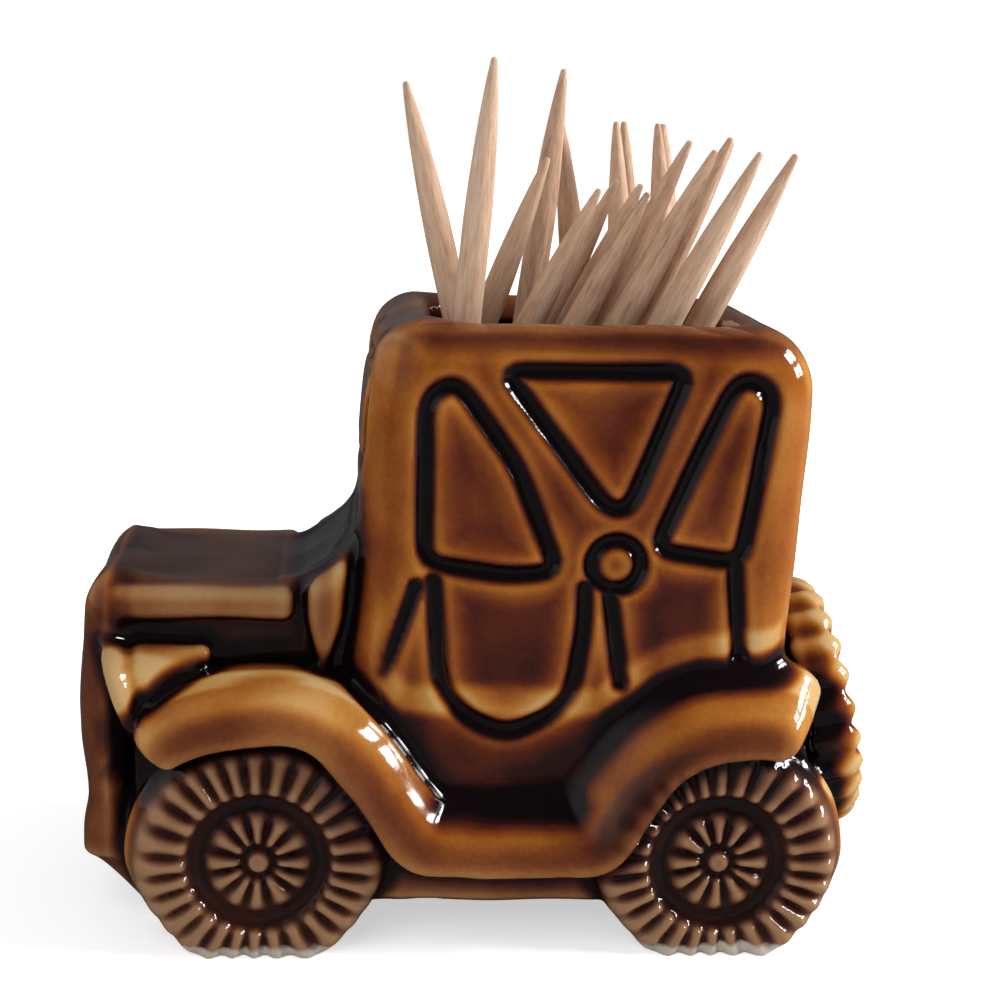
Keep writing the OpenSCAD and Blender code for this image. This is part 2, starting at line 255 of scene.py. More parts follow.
def pressed(distance, reach):
    """A rounded dent along a line, 1 deep where the distance is zero."""
    return 0.5 + 0.5 * np.cos(math.pi * np.clip(np.abs(distance) / reach, 0, 1))


PANE_ROUND = 2.2


def pane(half_y, low, high):
    """In the plane of Y and Z: the space within a pane with round corners."""
    return rounded(PANE_ROUND, Y - half_y, low - Z, Z - high)


# Half the width, the foot and the top of the panes in front and behind, which the photograph doesn't show.
SCREEN_PANE = (8.4, 35.2, 42.6)
REAR_PANE = (6.2, 31.5, 39.5)
PANE_DEEP = 0.5
GROOVE_REACH, GROOVE_DEEP = 1.08, 0.62
# The panels are dished between these distances from the nearest groove.
PANEL_DISH, DISH_AT = 0.16, (1.0, 3.2)
# The side swells out above the sill, most a little behind its middle, which counts as 1.
SIDE_IN, SIDE_SWELL, SWELL_Z, SWELL_MIDDLE = 0.1, 0.35, (8.0, 24.0), 1.15
# The windscreen bellies forward above the bonnet.
BELLY, BELLY_Z, BELLY_H = 0.9, 30.0, 17.0
REAR_ROUND, POST_ROUND = 4.6, 4.4


def cab(groove):
    """The cab with its pressed-in grooves, whose panels are a little dished."""
    front, rear, side, top = cab_sides(0.0)
    in_x = (X - CAB_FRONT_X) / CAB_L * 2 - SWELL_MIDDLE
    swell = SIDE_SWELL * (1 - in_x ** 2) * smooth_step(*SWELL_Z, Z) - SIDE_IN
    dent = GROOVE_DEEP * pressed(groove, GROOVE_REACH)
    dish = PANEL_DISH * smooth_step(*DISH_AT, groove)
    belly = BELLY * np.sin(math.pi * np.clip((Z - BELLY_Z) / BELLY_H, 0, 1))
    front = front - belly + PANE_DEEP * pressed(pane(*SCREEN_PANE), GROOVE_REACH)
    rear = rear + PANE_DEEP * pressed(pane(*REAR_PANE), GROOVE_REACH)
    outline = np.maximum(rounded(CAB_ROUND, front, top), rounded(REAR_ROUND, rear, top))
    form = rounded(CAB_ROUND, outline, side - swell + dent + dish)
    form = np.maximum(form, rounded(POST_ROUND, front, side - swell))
    return np.maximum(form, SILL_Z - Z)


# The top line lies lower than the solids' by BONNET_DROP, and dips at these distances behind the nose.
BONNET_DROP, DIP_AT = 0.4, (2.0, 9.0)


def bonnet_top():
    """Distance above the bonnet's top line, which dips and then sweeps up to the windscreen."""
    cowl_z = DIP_Z + COWL_R
    cowl_x = screen_x(cowl_z) - COWL_R
    fall = smooth_step(NOSE_X + DIP_AT[0], NOSE_X + DIP_AT[1], X)
    line = Z + BONNET_DROP - (BONNET_Z + (DIP_Z - BONNET_Z) * fall)
    sweep = COWL_R - np.hypot(X - cowl_x, np.minimum(Z - cowl_z, 0.0))
    return np.maximum(np.where(X < cowl_x, line, sweep), Z - cowl_z)


# The dish in the top fades out between these half widths and these distances behind the nose.
BONNET_DISH, DISH_Y, DISH_X = 0.3, (5.4, 8.0), (3.2, 5.2)
BONNET_ROUND, BONNET_IN = 2.2, 0.3
RIB_Z, RIB_W, RIB_OUT, RIB_ROUND = 25.2, 2.5, 0.75, 0.9
RIB_FRONT, RIB_REAR_X = 2.5, -14.6


def bonnet():
    """The bonnet, with a top that is a little dished and a rib along each side."""
    top = bonnet_top()
    dish = BONNET_DISH * (1 - smooth_step(*DISH_Y, Y))
    dish = dish * smooth_step(NOSE_X + DISH_X[0], NOSE_X + DISH_X[1], X)
    ends = np.maximum(NOSE_X + DIP_AT[0] - X, X)
    body = rounded(BONNET_ROUND, ends, Y - BONNET_Y + BONNET_IN, top + dish)
    body = np.maximum(body, BODY_TOP_Z - WALL - Z)
    rib_ends = np.maximum(NOSE_X + RIB_FRONT - X, X - RIB_REAR_X)
    rib = rounded(RIB_ROUND, rib_ends, Y - BONNET_Y - RIB_OUT, np.abs(Z - RIB_Z) - RIB_W / 2)
    return smooth_min(body, rib, 0.5)


# The shell's face falls back by so much towards its top and its foot.
BOW_TOP, BOW_TOP_Z = 0.6, (17.0, 26.0)
BOW_FOOT, BOW_FOOT_Z = 0.5, (15.0, 9.0)
SHELL_REAR_X, SHELL_FOOT_Z, SHELL_ROUND = -26.3, 6.0, 2.9
GRILLE_PANE = (7.2, 9.5, 23.6)
GRILLE_REACH, GRILLE_DEEP, GRILLE_PITCH = 0.9, 0.4, 1.8
# The apron and a point on its slope of 45 degrees.
APRON_IN, APRON_REAR_X, APRON_TOP_Z, APRON_ROUND = 0.7, -17.0, 9.5, 2.2
SLOPE_X, SLOPE_Z = -28.6, 4.3


def nose():
    """The radiator's shell, rounded like a loaf, and the apron that slopes back under it to the table."""
    bow = BOW_TOP * smooth_step(*BOW_TOP_Z, Z) + BOW_FOOT * smooth_step(*BOW_FOOT_Z, Z)
    grille = pane(*GRILLE_PANE)
    waves = 0.5 + 0.5 * np.cos(2 * math.pi * Y / GRILLE_PITCH)
    flutes = GRILLE_DEEP * waves * smooth_step(-0.2, -1.0, grille)
    face = NOSE_X - X + bow + flutes + GRILLE_DEEP * pressed(grille, GRILLE_REACH)
    shell = rounded(SHELL_ROUND, np.maximum(face, X - SHELL_REAR_X), Y - NOSE_Y, Z - BONNET_Z + BONNET_DROP)
    shell = np.maximum(shell, SHELL_FOOT_Z - Z)
    slope = -((X - SLOPE_X) + (Z - SLOPE_Z)) * math.sqrt(0.5)
    ends = np.maximum(np.maximum(NOSE_X + APRON_IN - X, X - APRON_REAR_X), slope)
    apron = rounded(APRON_ROUND, ends, Y - NOSE_Y + 0.4, Z - APRON_TOP_Z)
    return smooth_min(shell, apron, 1.6)


# The headlamp's bowl, from the middle of its front to its pointed back.
LAMP_FRONT, LAMP_FRONT_R = (-26.9, 10.4, 19.3), 3.2
LAMP_BACK, LAMP_BACK_R = (-21.4, 9.9, 21.5), 0.9
LAMP_TOP_Z = 22.6
# Its lens is a plane through LENS_X at the top, which leans by 16 degrees. The rim's groove lies behind it.
LENS_X, LENS_COS, LENS_SIN = -28.4, 0.96, 0.28
RIM_DEEP, RIM_BACK, RIM_REACH = 0.4, 1.7, 0.6


def lamp():
    """A headlamp like a bullet that points down and forward, beside the radiator."""
    a, b = np.array(LAMP_FRONT), np.array(LAMP_BACK)
    ra, rb = LAMP_FRONT_R, LAMP_BACK_R
    d = b - a
    t = np.clip(((X - a[0]) * d[0] + (Y - a[1]) * d[1] + (Z - a[2]) * d[2]) / (d @ d), 0, 1)
    dist = np.sqrt((X - a[0] - t * d[0]) ** 2 + (Y - a[1] - t * d[1]) ** 2 + (Z - a[2] - t * d[2]) ** 2)
    lens = -LENS_COS * (X - LENS_X) - LENS_SIN * (Z - LAMP_TOP_Z)
    rim = RIM_DEEP * np.exp(-((lens + RIM_BACK) / RIM_REACH) ** 2)
    bowl = smooth_max(dist - (ra + (rb - ra) * t) + rim, Z - LAMP_TOP_Z, 0.8)
    return smooth_max(bowl, lens, 0.6)


# The outer edge of the wings and of the running board between them, from the nose to the tail.
WING_EDGE = [
    (-26.2, 15.2), (-24.6, 16.9), (-21.6, 18.5), (-18.0, 19.3), (-14.2, 19.3), (-11.0, 17.9), (-8.2, 14.8),
    (-6.2, 11.8), (-4.9, 9.9), (-3.6, 9.1), (-1.2, 8.9), (1.6, 8.9), (4.4, 8.9), (6.6, 9.2), (7.8, 10.2),
    (9.2, 12.5), (11.7, 15.9), (14.9, 17.9), (18.6, 18.5), (21.6, 18.1), (23.9, 16.6),
]


BAND_T, BAND_IN_Y, BAND_ROUND, BAND_END = 2.8, 9.6, 2.4, 0.6
# The wall in the arches reaches from front to back and out to ARCH_Y, and the sill fills in under the board.
ARCH_FRONT_X, ARCH_REAR_X, ARCH_Y = -24.8, 23.6, 13.0
SILL_X, SILL_L, SILL_Y, SILL_TOP_Z = 0.8, 16.0, 12.75, 8.2
# The band's crown is low in front, and steep behind and over the board, where the band is also thinner.
CROWN, CROWN_MORE, CROWN_X = 0.42, 0.4, (-15.0, -7.0)
CROWN_HIGH, CROWN_HIGH_MORE, CROWN_HIGH_X = 1.5, 2.0, (-8.0, 8.0)
THINNER, THINNER_FROM, THINNER_TO = 0.4, (-6.0, -2.0), (10.0, 5.0)


def wings():
    """Both wings and the board: a crowned band along the outer edge, and the wall that closes the arches."""
    line = smooth_path(WING_EDGE)
    d, run = path_distance(line)
    length = np.hypot(*np.diff(line, axis=0).T).sum()
    crown = CROWN + CROWN_MORE * smooth_step(*CROWN_X, X)
    rise = (WING_Y - 0.9 - Y) * crown
    over = CROWN_HIGH + CROWN_HIGH_MORE * smooth_step(*CROWN_HIGH_X, X)
    top = smooth_max(d - np.minimum(rise, over), Y - WING_Y + 0.1, BAND_ROUND)
    thin = THINNER * smooth_step(*THINNER_FROM, X) * smooth_step(*THINNER_TO, X)
    band = smooth_max(top, -d - BAND_T + thin, 0.7)
    ends = np.maximum(BAND_END - run, run - length + BAND_END)
    band = smooth_max(band, ends.astype(np.float32), BAND_ROUND)
    band = np.maximum(band, BAND_IN_Y - Y)
    wall_ends = np.maximum(ARCH_FRONT_X - X, X - ARCH_REAR_X)
    wall = rounded(0.6, wall_ends, Y - ARCH_Y, d + 1.0, SILL_Z + 0.3 - Z)
    sill = rounded(0.8, np.abs(X - SILL_X) - SILL_L / 2, Y - SILL_Y, Z - SILL_TOP_Z, SILL_Z + 0.2 - Z)
    return band, smooth_min(wall, sill, 0.6)


# Heights and depths of a wheel's relief, and the radii between which each part of it starts and ends.
RIB_HIGH, RING_DEEP, PETAL_HIGH, KNOB_HIGH, HUB_DEEP, SHOULDER_DEEP = 0.62, 0.45, 0.7, 0.65, 0.5, 1.1
RIB_FROM, RING_FROM, RING_TO = (4.9, 5.7), (3.6, 4.3), (5.6, 4.7)
PETAL_FROM, PETAL_TO, KNOB_TO, HUB_TO = (1.0, 1.7), (4.2, 3.0), (1.05, 0.5), (4.6, 3.6)


def wheel_relief(r, angle, rim_r, ribs):
    """How far a wheel's face stands out: ribbed tyre, sunk ring, petals and a knob."""
    wobble = 0.035 * np.sin(3 * angle + 0.7) + 0.02 * np.sin(5 * angle + 2.1)
    rib = (0.5 + 0.5 * np.cos(ribs * (angle + wobble))) ** 0.8
    tyre = rib * smooth_step(*RIB_FROM, r) * smooth_step(rim_r + 0.2, rim_r - 1.4, r) * RIB_HIGH
    ring = -RING_DEEP * smooth_step(*RING_FROM, r) * smooth_step(*RING_TO, r)
    petal = (0.5 + 0.5 * np.cos(HUB_PETALS * (angle + wobble))) ** 0.7
    petals = PETAL_HIGH * petal * smooth_step(*PETAL_FROM, r) * smooth_step(*PETAL_TO, r)
    knob = KNOB_HIGH * smooth_step(*KNOB_TO, r)
    hub = -HUB_DEEP * smooth_step(*HUB_TO, r)
    shoulder = -SHOULDER_DEEP * smooth_step(rim_r - 1.5, rim_r + 0.4, r) ** 2
    return tyre + ring + petals + knob + hub + shoulder


TYRE_RIBS = 28
# The tread is drawn larger than the solids' by TREAD.
TREAD, WHEEL_EDGE = 0.65, 1.2
# The lower quarters are flattened a little, most where they face 40 degrees downwards.
FLAT_IN, FLAT_COS, FLAT_SIN = 0.4, 0.77, 0.64


def wheel(axle_x):
    """A road wheel, which is a disc whose face carries the relief."""
    dx, dz = X - axle_x, Z - WHEEL_Z
    r = np.hypot(dx, dz)
    angle = np.arctan2(dz, dx)
    outline = r - WHEEL_R - TREAD
    for side in (-1, 1):
        outline = smooth_max(outline, side * dx * FLAT_COS - dz * FLAT_SIN - WHEEL_R + FLAT_IN, 1.5)
    face = Y - FACE_Y - wheel_relief(r, angle, WHEEL_R, TYRE_RIBS)
    return rounded(WHEEL_EDGE, outline, face)


SPARE_R, SPARE_T, SPARE_Z, SPARE_LEAN = 10.2, 4.2, 15.0, 11.0
SPARE_RIBS, SPARE_FACE_IN, KNOB_IN, KNOB_BACK = 24, 0.45, 0.45, 0.35
# The spare's edge stays so far within the solids' reach.
SPARE_IN = 0.15
BLOCK_ROUND, BLOCK_RISE = 1.2, 3.4


def spare():
    """The spare wheel, which leans on the cab's back, and the block that carries it."""
    lean = math.radians(SPARE_LEAN)
    edge = WHEEL_EDGE
    cx = TAIL_X - SPARE_IN - edge - (SPARE_T / 2 - edge) * math.cos(lean) - (SPARE_R - edge) * math.sin(lean)
    dx, dz = X - cx, Z - SPARE_Z
    out = dx * math.cos(lean) + dz * math.sin(lean)
    up = dz * math.cos(lean) - dx * math.sin(lean)
    r = np.hypot(Y, up)
    angle = np.arctan2(up, Y)
    knobs = 0.5 - 0.5 * np.cos(SPARE_RIBS * angle)
    rim = r - SPARE_R + 0.1 + KNOB_IN * knobs * smooth_step(7.0, 9.0, r)
    face = out - SPARE_T / 2 + SPARE_FACE_IN - wheel_relief(r, angle, SPARE_R, SPARE_RIBS)
    back = -out - SPARE_T / 2 + 0.05 + KNOB_BACK * knobs * smooth_step(6.0, 8.5, r)
    disc = rounded(0.5, rim, np.maximum(face, back))
    block_top = (Z - SPARE_Z - BLOCK_RISE) * 0.75 + (X - CAB_REAR_X) * 0.66
    block_ends = np.maximum(CAB_REAR_X - 3 - X, X - cx)
    block = rounded(BLOCK_ROUND, block_ends, Y - CAB_Y * 2 / 3, SILL_Z + WALL - Z, block_top)
    return smooth_min(disc, block, 1.2)


# Half a post's width, and the heights between which it widens to that. Its middle leans back a little.
POST_HALF, POST_POINT_Z = 1.35, (18.5, 25.0)
POST_X, POST_Z, POST_LEAN = -12.3, 24.0, 0.05


def cowl_post():
    """A short pilaster beside the windscreen, pointed at its foot and cut off by the bonnet's sweep."""
    half = POST_HALF * smooth_step(*POST_POINT_Z, Z)
    middle = POST_X + POST_LEAN * (Z - POST_Z)
    post = rounded(0.8, np.abs(X - middle) - half, Y - NOSE_Y - 0.2, 15.0 - Z)
    return smooth_max(post, bonnet_top() + 0.2, 1.0)


def lower_body():
    """The body between the wings, which closes the space below the bonnet and the cab."""
    ends = np.maximum(-26.0 - X, X - CAB_REAR_X)
    return rounded(1.0, ends, Y - CAB_Y + 0.7, Z - BODY_TOP_Z - 0.6, SILL_Z - Z)


FLOOR_Z = SILL_Z + WALL
WELL_R, WELL_Z = WHEEL_R - WALL, WALL
# The chamber that the wells open into, whose front corner is cut off aslant.
CHAMBER_Y = CAB_Y - WALL
CHAMBER_X, CHAMBER_L, CHAMBER_Z = -1.4, 45.2, 15.0


def hollow():
    """The inside, which is the solids' own, with a floor and two wells over the axles."""
    front, rear, side, top = cab_sides(WALL)
    room = rounded(CAB_ROUND - WALL / 2, np.maximum(front, rear), side, top)
    room = np.maximum(room, FLOOR_Z - Z)
    bonnet_room = np.maximum(np.maximum(Y - BONNET_Y + WALL, bonnet_top() + WALL),
                             np.maximum(NOSE_X + 1.8 + WALL - X, X))
    bonnet_room = np.maximum(bonnet_room, WHEEL_Z - Z)
    chamfer = -(X - FRONT_AXLE_X + WELL_R) * 0.76 + (Z - WHEEL_Z - WELL_R / 2) * 0.65
    chamber = np.maximum(Y - CHAMBER_Y, np.abs(X - CHAMBER_X) - CHAMBER_L / 2)
    chamber = np.maximum(chamber, np.maximum(FLOOR_Z - Z, Z - CHAMBER_Z))
    chamber = np.maximum(chamber, chamfer)
    out = np.minimum(np.minimum(room, bonnet_room), chamber)
    for x in (FRONT_AXLE_X, REAR_AXLE_X):
        well = np.maximum(np.hypot(X - x, Z - WHEEL_Z) - WELL_R, np.maximum(Y - CHAMBER_Y, WELL_Z - Z))
        out = np.minimum(out, np.maximum(well, Z - WHEEL_Z - WELL_Z))
    return out


MOUTH_X, MOUTH_L, MOUTH_W, MOUTH_ROUND = 6.6, 22.4, 18.2, 3.5


def mouth():
    """The opening in the roof."""
    return np.maximum(rounded(MOUTH_ROUND, np.abs(X - MOUTH_X) - MOUTH_L / 2, Y - MOUTH_W / 2),
                      ROOF_Z - 2 * WALL - Z)


# How far the hand-finished surface wanders, in millimetres.
UNEVEN = 0.05


def handmade():
    """The slow unevenness of a hand-finished casting."""
    return (np.sin(X * 0.31 + 1.2) * np.sin(Y * 0.37 + Z * 0.21) + np.sin(Z * 0.43 + X * 0.17 + 0.4)
            + np.sin(X * 0.71 + Y * 0.53 - Z * 0.59)) * UNEVEN


def casting_field(groove):
    """The casting, its outside alone, and the distance from the nearest seam between two of its forms."""
    body = bonnet()
    seams = []
    parts = (cab(groove), 0.9), (nose(), 1.1), (lamp(), 0.9), (cowl_post(), 0.9), (lower_body(), 0.8)
    for part, fillet in parts:
        seams.append(np.maximum(body, part))
        body = smooth_min(body, part, fillet)
    band, arches = wings()
    # The cab's foot and the board melt into a deep pool of glaze.
    pool = 1.0 + 1.0 * smooth_step(-5.0, -1.0, X) * smooth_step(8.0, 4.0, X)
    seams.append(np.maximum(body, band) - 0.5)
    body = smooth_min(smooth_min(body, arches, 0.5), band, pool)
    wheels = np.minimum(wheel(FRONT_AXLE_X), wheel(REAR_AXLE_X))
    # The seam round the wheels darkens the glaze there as painted shade under the wings' edges.
    seams.append(np.maximum(body, wheels))
    body = smooth_min(body, wheels, 0.5)
    tyre = spare()
    seams.append(np.maximum(body, tyre) - 0.5)
    body = smooth_min(body, tyre, 0.7)
    body = body + handmade()
    seam = np.minimum.reduce(seams).astype(np.float32)
    outside = smooth_max(body, -mouth(), 1.5).astype(np.float32)
    walls = smooth_max(outside, -hollow(), 0.3)
    return np.maximum(walls, -Z).astype(np.float32), outside, seam


def blurred(field, sigma):
    """The field softened over sigma millimetres. The middle plane mirrors, and the other edges repeat."""
    reach = int(math.ceil(2.4 * sigma / VOXEL))
    weights = np.exp(-0.5 * (np.arange(-reach, reach + 1) * VOXEL / sigma) ** 2)
    weights = (weights / weights.sum()).astype(np.float32)
    for axis in range(3):
        pad = [(0, 0)] * 3
        pad[axis] = (reach, reach)
        wide = np.pad(field, pad, mode="symmetric")
        out = np.zeros_like(field)
        for i, w in enumerate(weights):
            part = [slice(None)] * 3
            part[axis] = slice(i, i + field.shape[axis])
            out += w * wide[tuple(part)]
        field = out
    return field


def sample(field, points):
    """The field's value at each point, by linear interpolation. Y mirrors at the middle plane."""
    origin = np.array([axis_x[0], axis_y[0], axis_z[0]])
    p = points.copy()
    p[:, 1] = np.abs(p[:, 1])
    g = (p - origin) / VOXEL
    top = np.array(field.shape) - 1.001
    g = np.clip(g, 0, top)
    i = g.astype(np.int64)
    f = g - i
    out = np.zeros(len(points))
    for corner in range(8):
        # The corner's number in binary says which side it lies on along each axis.
        o = np.array([corner & 1, corner >> 1 & 1, corner >> 2])
        w = np.prod(np.where(o, f, 1 - f), axis=1)
        out += w * field[i[:, 0] + o[0], i[:, 1] + o[1], i[:, 2] + o[2]]
    return out


def surface_net(half):
    """Vertices in millimetres and quads of the field's surface, mirrored to both halves."""
    phi = np.concatenate([half[:, ::-1], half], axis=1)
    inside = phi < 0
    shape = np.array(phi.shape) - 1
    corners = [(a, b, c) for a in (0, 1) for b in (0, 1) for c in (0, 1)]
    views = [tuple(slice(o, o + n) for o, n in zip(corner, shape)) for corner in corners]
    count = sum(inside[v].astype(np.uint8) for v in views)
    active = (count > 0) & (count < 8)
    cells = np.argwhere(active)
    number = np.full(tuple(shape), -1, dtype=np.int64)
    number[active] = np.arange(len(cells))
    value = np.stack([phi[v][active] for v in views], axis=1)
    total = np.zeros((len(cells), 3))
    hits = np.zeros(len(cells))
    for m, a in enumerate(corners):
        for n, b in enumerate(corners):
            if n <= m or sum(p != q for p, q in zip(a, b)) != 1:
                continue
            va, vb = value[:, m], value[:, n]
            cross = (va < 0) != (vb < 0)
            t = np.where(cross, va / np.where(cross, va - vb, 1), 0)[:, None]
            total += np.where(cross[:, None], np.array(a) + t * (np.array(b) - np.array(a)), 0)
            hits += cross
    origin = np.array([axis_x[0], -axis_y[-1], axis_z[0]])
    points = (cells + total / hits[:, None]) * VOXEL + origin
    quads = []
    for axis in range(3):
        u, v = (axis + 1) % 3, (axis + 2) % 3
        lower = [slice(1, -1)] * 3
        lower[axis] = slice(0, -1)
        upper = list(lower)
        upper[axis] = slice(1, None)
        start, end = inside[tuple(lower)], inside[tuple(upper)]
        change = np.argwhere(start != end)
        outward = start[tuple(change.T)]
        base = change.copy()
        base[:, u] += 1
        base[:, v] += 1
        ring = []
        for du, dv in ((-1, -1), (0, -1), (0, 0), (-1, 0)):
            cell = base.copy()
            cell[:, u] += du
            cell[:, v] += dv
            ring.append(number[tuple(cell.T)])
        ring = np.stack(ring, axis=1)
        quads.append(np.where(outward[:, None], ring, ring[:, ::-1]))
    return points, np.concatenate(quads)


def settle(points, field):
    """Draws the net's points onto the field's surface."""
    step = VOXEL * 0.5
    for _ in range(2):
        value = sample(field, points)
        slope = np.stack([sample(field, points + d) - sample(field, points - d)
                          for d in np.eye(3) * step], axis=1) / (2 * step)
        steep = np.maximum((slope ** 2).sum(1), 0.3)
        move = -(value / steep)[:, None] * slope
        points = points + np.clip(move, -0.4 * VOXEL, 0.4 * VOXEL)
    return points


def mesh_object(name, points, faces, smooth=True):
    """A mesh object from millimetre points and faces that all have the same count of corners."""
    mesh = bpy.data.meshes.new(name)
    faces = np.asarray(faces)
    mesh.vertices.add(len(points))
    mesh.vertices.foreach_set("co", (np.asarray(points) * MM).astype(np.float32).ravel())
    mesh.loops.add(faces.size)
    mesh.loops.foreach_set("vertex_index", faces.ravel().astype(np.int32))
    mesh.polygons.add(len(faces))
    mesh.polygons.foreach_set("loop_start", np.arange(len(faces), dtype=np.int32) * faces.shape[1])
    mesh.update(calc_edges=True)
    mesh.polygons.foreach_set("use_smooth", np.full(len(faces), smooth))
    mesh.validate()
    obj = bpy.data.objects.new(name, mesh)
    bpy.context.scene.collection.objects.link(obj)
    return obj


def add_attribute(obj, name, values):
    """A value for each vertex, which a material reads by the name."""
    layer = obj.data.attributes.new(name, "FLOAT", "POINT")
    layer.data.foreach_set("value", np.asarray(values, dtype=np.float32))


# The glaze's depth on a flat face, and the scales (mm) at which it follows ridges and hollows, with weights.
GLAZE_BASE = 0.48
GLAZE_SCALES = (0.4, 0.6), (1.1, 0.5), (2.4, 0.34)
# What a place adds to that depth or takes from it. Pairs say where it starts and ends.
GROOVE_ADDS, GROOVE_GLAZE = 0.36, (1.2, 0.2)
PANEL_ADDS, WINDOW_ADDS, PANEL_GLAZE = 0.12, 0.01, (0.9, 3.0)
# The seams' darkening is gathered glaze, and round the wheels painted shade.
SEAM_ADDS, SEAM_GLAZE, BOARD_TAKES, BOARD_FROM_X, BOARD_TO_X = 0.4, (1.5, 0.0), 0.3, (-6.5, -3.5), (9.5, 6.5)
SIDE_ADDS, EAVES_ADD, EAVES_Z = 0.08, 0.12, (40.0, 43.5)
BORDER_TAKES, FOOT_TAKES, FOOT_Z = 0.3, 0.45, (18.0, 15.5)
# The crest's thinning lightens the front wing into a painted highlight.
CREST_HIGHLIGHT, CREST_X, CREST_REACH = 0.16, -13.0, 3.2
SPARE_ADDS, FRONT_ADDS, ROOF_ADDS, EDGE_ADDS, NOSE_ADDS, POOL_ADDS = 0.12, 0.09, 0.2, 0.26, 0.13, 0.3


def side_lines(groove):
    """What the cab's side adds to the glaze: dark in the grooves, and a little deeper within the panels."""
    in_panel = smooth_step(*PANEL_GLAZE, groove)
    panels = PANEL_ADDS * panel_mask([DOOR, REAR_PANEL]) + WINDOW_ADDS * panel_mask(WINDOWS)
    return GROOVE_ADDS * smooth_step(*GROOVE_GLAZE, groove) + in_panel * panels


def glaze_depth(points, outside, seam, groove):
    """How thick the glaze lies: thin on ridges, thick in hollows and in the middle of panels, thinned for a
    painted highlight on the front wing's crest, and deepened for painted shade round the wheels. 0 to 1.
    """
    near = np.clip(outside, -2.5, 2.5)
    depth = GLAZE_BASE
    for scale, weight in GLAZE_SCALES:
        depth = depth - weight * (sample(blurred(near, scale), points) / scale)
    x, y, z = points[:, 0], np.abs(points[:, 1]), points[:, 2]
    by_board = smooth_step(*BOARD_FROM_X, x) * smooth_step(*BOARD_TO_X, x)
    # It gathers in every seam, but less so where the cab's side stands above the running board. Round the
    # wheels, under the wings' edges, this darkening is painted shade.
    from_seam = sample(seam, points)
    takes = BOARD_TAKES * by_board * smooth_step(11.8, 12.8, z)
    depth += (SEAM_ADDS - takes) * smooth_step(*SEAM_GLAZE, from_seam)
    # It is thin along the cab's lower border, and thicker under the roof. On the crest of the front wing it is
    # thinned to paint a highlight.
    on_side_face = smooth_step(CAB_Y - 1.3, CAB_Y - 0.6, y) * smooth_step(CAB_Y + 1.2, CAB_Y + 0.7, y)
    on_cab = on_side_face * smooth_step(11.0, 13.0, z)
    border = smooth_step(0.7, 1.4, from_seam) * smooth_step(3.4, 2.2, from_seam) * smooth_step(28.0, 24.0, z)
    thinned = (BORDER_TAKES + FOOT_TAKES * smooth_step(*FOOT_Z, z)) * border
    # A painted highlight: lighter glaze along the front wing's crest.
    crest_highlight = np.exp(-((x - CREST_X) / CREST_REACH) ** 2) * smooth_step(14.0, 16.5, z)
    crest_highlight = crest_highlight * smooth_step(12.6, 13.4, y)
    depth += on_cab * (SIDE_ADDS - thinned + EAVES_ADD * smooth_step(*EAVES_Z, z)) - CREST_HIGHLIGHT * crest_highlight
    # It is thicker on the spare wheel's face, the front, the roof's rim, the edges and the radiator.
    depth += SPARE_ADDS * smooth_step(CAB_REAR_X + 0.6, CAB_REAR_X + 1.6, x) * smooth_step(11.0, 10.0, y)
    shares = FRONT_ADDS * front_share(points) + ROOF_ADDS * roof_share(points)
    depth += shares + EDGE_ADDS * edge_share(points)
    depth += NOSE_ADDS * smooth_step(-27.8, -28.8, x) * smooth_step(27.5, 25.5, z)
    # It pools between the cab and the running board.
    pool_z = smooth_step(12.4, 11.2, z) * smooth_step(7.0, 8.5, z)
    depth += POOL_ADDS * smooth_step(15.2, 13.9, y) * by_board * pool_z
    lines = sample(np.broadcast_to(side_lines(groove), outside.shape), points)
    return depth + on_cab * lines


def front_share(points):
    """1 on the bonnet, the nose and the posts beside the windscreen, less on the lamps, and 0 elsewhere."""
    x, y, z = points[:, 0], np.abs(points[:, 1]), points[:, 2]
    bonnet_part = smooth_step(-11.0, -12.5, x) * smooth_step(20.5, 22.5, z) * smooth_step(-28.5, -26.5, x)
    nose_part = smooth_step(-26.0, -28.0, x) * smooth_step(27.0, 23.0, z)
    lamp_part = np.exp(-((z - 19.5) / 3.4) ** 4) * smooth_step(9.4, 10.4, y) * smooth_step(-28.9, -28.0, x)
    return np.maximum(bonnet_part, nose_part) * (1 - 0.5 * lamp_part)


def roof_share(points):
    """1 on the roof's rim, and 0 below it."""
    return smooth_step(ROOF_Z - 2.6, ROOF_Z - 0.9, points[:, 2])


def edge_share(points):
    """1 on the upright edges of the wings and the running board, and 0 elsewhere."""
    y, z = np.abs(points[:, 1]), points[:, 2]
    return smooth_step(WING_Y - 1.5, WING_Y - 0.3, y) * smooth_step(6.0, 6.8, z) * smooth_step(26.0, 24.0, z)


def wheel_share(points):
    """1 on the faces of the wheels and 0 elsewhere."""
    y = np.abs(points[:, 1])
    on_face = smooth_step(13.2, 13.8, y) * smooth_step(WING_Y, WING_Y - 0.4, y)
    x, z = points[:, 0], points[:, 2]
    reach = np.minimum(np.hypot(x - FRONT_AXLE_X, z - WHEEL_Z), np.hypot(x - REAR_AXLE_X, z - WHEEL_Z))
    return on_face * smooth_step(WHEEL_R + 0.8, WHEEL_R + 0.1, reach)


SILL_MAUVE, FRONT_MAUVE, RIM_MAUVE = 0.7, 0.65, 0.5


def mauve_share(points):
    """How far the glaze turns to a dull mauve: fully on the wheels, where it is painted shade, less on front,
    sill, rim and edges.
    """
    sill = SILL_MAUVE * smooth_step(6.6, 5.6, points[:, 2])
    front = FRONT_MAUVE * front_share(points)
    rims = RIM_MAUVE * np.maximum(roof_share(points), edge_share(points))
    return np.maximum.reduce([wheel_share(points), front, sill, rims])


